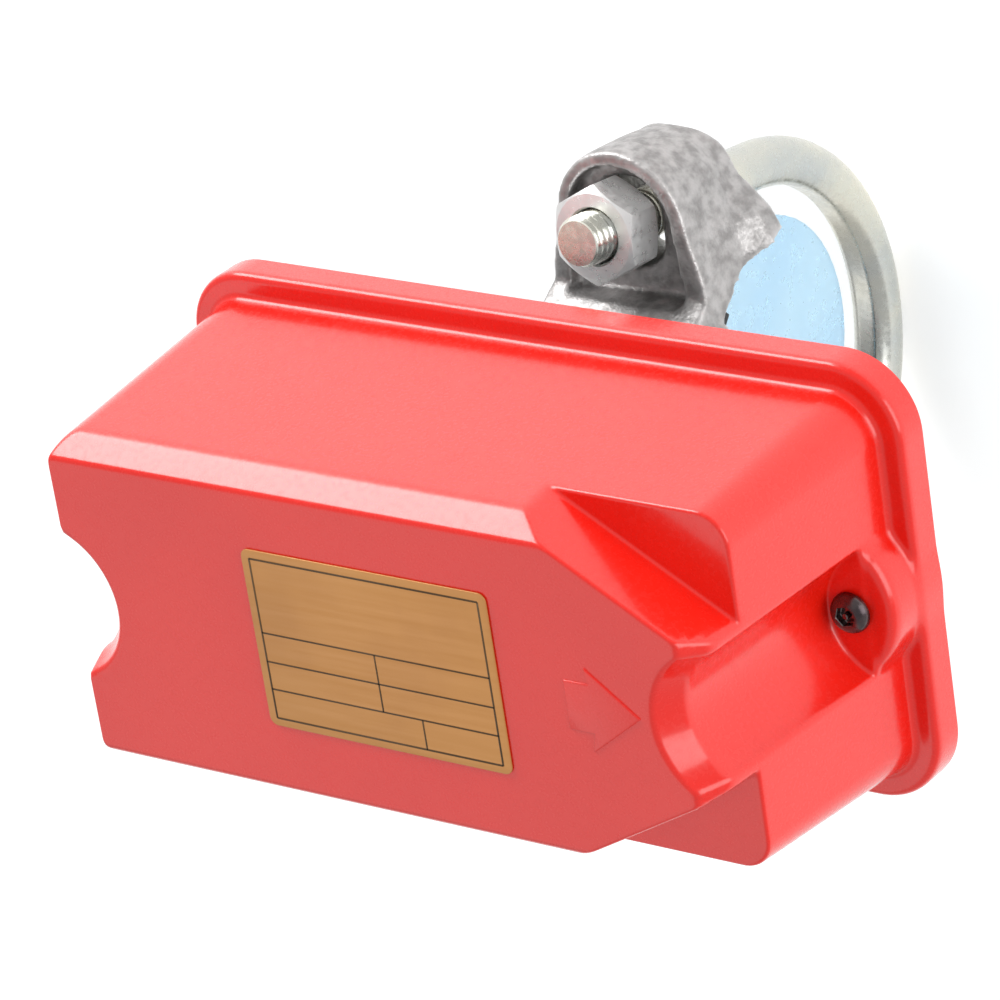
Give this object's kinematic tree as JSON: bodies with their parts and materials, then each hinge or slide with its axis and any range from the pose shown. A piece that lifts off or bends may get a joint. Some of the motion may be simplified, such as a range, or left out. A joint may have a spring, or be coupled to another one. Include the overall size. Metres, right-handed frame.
{
  "type": "vane-type sprinkler water flow detector for a nominal 65 mm pipe",
  "caption": "Vane-type sprinkler water flow detector: red cast cover, cast saddle and U-bolt for the pipe, flexible blue vane, trip lever, pneumatic delay and snap switches inside.",
  "frame": {"origin": "On the axis of the pipe, under the stem of the vane.", "axes": "+X is the flow direction along the pipe, +Y is across the pipe, +Z points from the pipe out to the cover."},
  "size_m": [0.1474, 0.1144, 0.1631],
  "materials": {
    "cover_red": "glossy red enamel on a casting",
    "base_grey": "grey coated plate",
    "cast_aluminium": "raw casting, fine grain, worn edges",
    "zinc_plate": "bright zinc plating with a slight tint",
    "bright_steel": "bare stainless steel",
    "dark_steel": "dark security screw",
    "black_rubber": "black gasket rubber",
    "blue_vane": "flexible translucent blue sheet",
    "gold_foil": "gold foil plate",
    "black_plastic": "black moulded plastic",
    "white_nylon": "white nylon",
    "brass": "bright brass",
    "green_zinc": "green plated screw"
  },
  "bodies": {
    "base": {"base_plate": "base_grey", "saddle": "cast_aluminium", "saddle_gasket": "black_rubber", "cover_gasket": "black_rubber", "conduit_plug": "zinc_plate", "pivot_bracket": "bright_steel", "pivot_pin": "zinc_plate", "stem_boot": "black_rubber", "mechanism_frame": "bright_steel", "delay_body": "black_plastic", "switch_a": "black_plastic", "switch_b": "black_plastic", "return_spring": "bright_steel", "switch_a_terminal_1": "brass", "switch_a_terminal_2": "brass", "switch_a_terminal_3": "brass", "switch_b_terminal_1": "brass", "switch_b_terminal_2": "brass", "switch_b_terminal_3": "brass", "saddle_screw_1": "zinc_plate", "saddle_screw_2": "zinc_plate", "saddle_screw_3": "zinc_plate", "saddle_screw_4": "zinc_plate", "frame_screw_1": "zinc_plate", "frame_screw_2": "zinc_plate", "bracket_screw_1": "zinc_plate", "bracket_screw_2": "zinc_plate", "ground_screw": "green_zinc"},
    "cover_assembly": {"cover": "cover_red", "rating_plate": "gold_foil", "cover_screw_left": "dark_steel", "cover_screw_right": "dark_steel"},
    "lever": {"trip_lever": "bright_steel", "vane": "blue_vane", "vane_clamp": "bright_steel", "vane_rivet_1": "bright_steel", "vane_rivet_2": "bright_steel"},
    "plunger": {"delay_plunger": "white_nylon"},
    "button_a": {"switch_a_button": "white_nylon"},
    "button_b": {"switch_b_button": "white_nylon"},
    "dial": {"delay_dial": "white_nylon"},
    "clamp_bolt": {"u_bolt": "zinc_plate"},
    "upper_nut": {"nut_upper": "zinc_plate"},
    "lower_nut": {"nut_lower": "zinc_plate"}
  },
  "joints": [
    {"name": "cover_lift", "type": "slide", "parent": "base", "child": "cover_assembly", "axis": [0, 0, 1], "range_m": [0, 0.075]},
    {"name": "vane_swing", "type": "hinge", "parent": "base", "child": "lever", "pos_m": [0, 0, 0.064], "axis": [0, -1, 0], "range_deg": [0, 12], "stiffness_Nm_per_rad": 0.3},
    {"name": "delay_plunger_slide", "type": "slide", "parent": "base", "child": "plunger", "axis": [0, 0, 1], "range_m": [0, 0.0068], "deforming": ["return_spring"]},
    {"name": "switch_a_button_slide", "type": "slide", "parent": "base", "child": "button_a", "axis": [0, 0, 1], "range_m": [0, 0.0068]},
    {"name": "switch_b_button_slide", "type": "slide", "parent": "base", "child": "button_b", "axis": [0, 0, 1], "range_m": [0, 0.0068]},
    {"name": "delay_dial_turn", "type": "hinge", "parent": "base", "child": "dial", "pos_m": [0.03, 0, 0.1], "axis": [0, 0, 1], "range_deg": [0, 270]},
    {"name": "nut_upper_turn", "type": "hinge", "parent": "base", "child": "upper_nut", "pos_m": [-0.0012, 0.04361, 0.03404], "axis": [0, -0.1374, -0.9905], "range_deg": [0, 720]},
    {"name": "nut_lower_turn", "type": "hinge", "parent": "base", "child": "lower_nut", "pos_m": [-0.0012, -0.04325, 0.0332], "axis": [0, -0.0157, -0.9999], "range_deg": [0, 720]},
    {"name": "u_bolt_slide", "type": "slide", "parent": "base", "child": "clamp_bolt", "axis": [0, 0.0767, 0.9971], "range_m": [0, 0.00317]}
  ],
  "couplings": [
    {"joint": "delay_plunger_slide", "follows": "vane_swing", "m_per_rad": 0.0318},
    {"joint": "switch_a_button_slide", "follows": "vane_swing", "m_per_rad": 0.0318},
    {"joint": "switch_b_button_slide", "follows": "vane_swing", "m_per_rad": 0.0318},
    {"joint": "nut_upper_turn", "follows": "u_bolt_slide", "rad_per_m": 3957.9},
    {"joint": "nut_lower_turn", "follows": "u_bolt_slide", "rad_per_m": 3957.9}
  ]
}
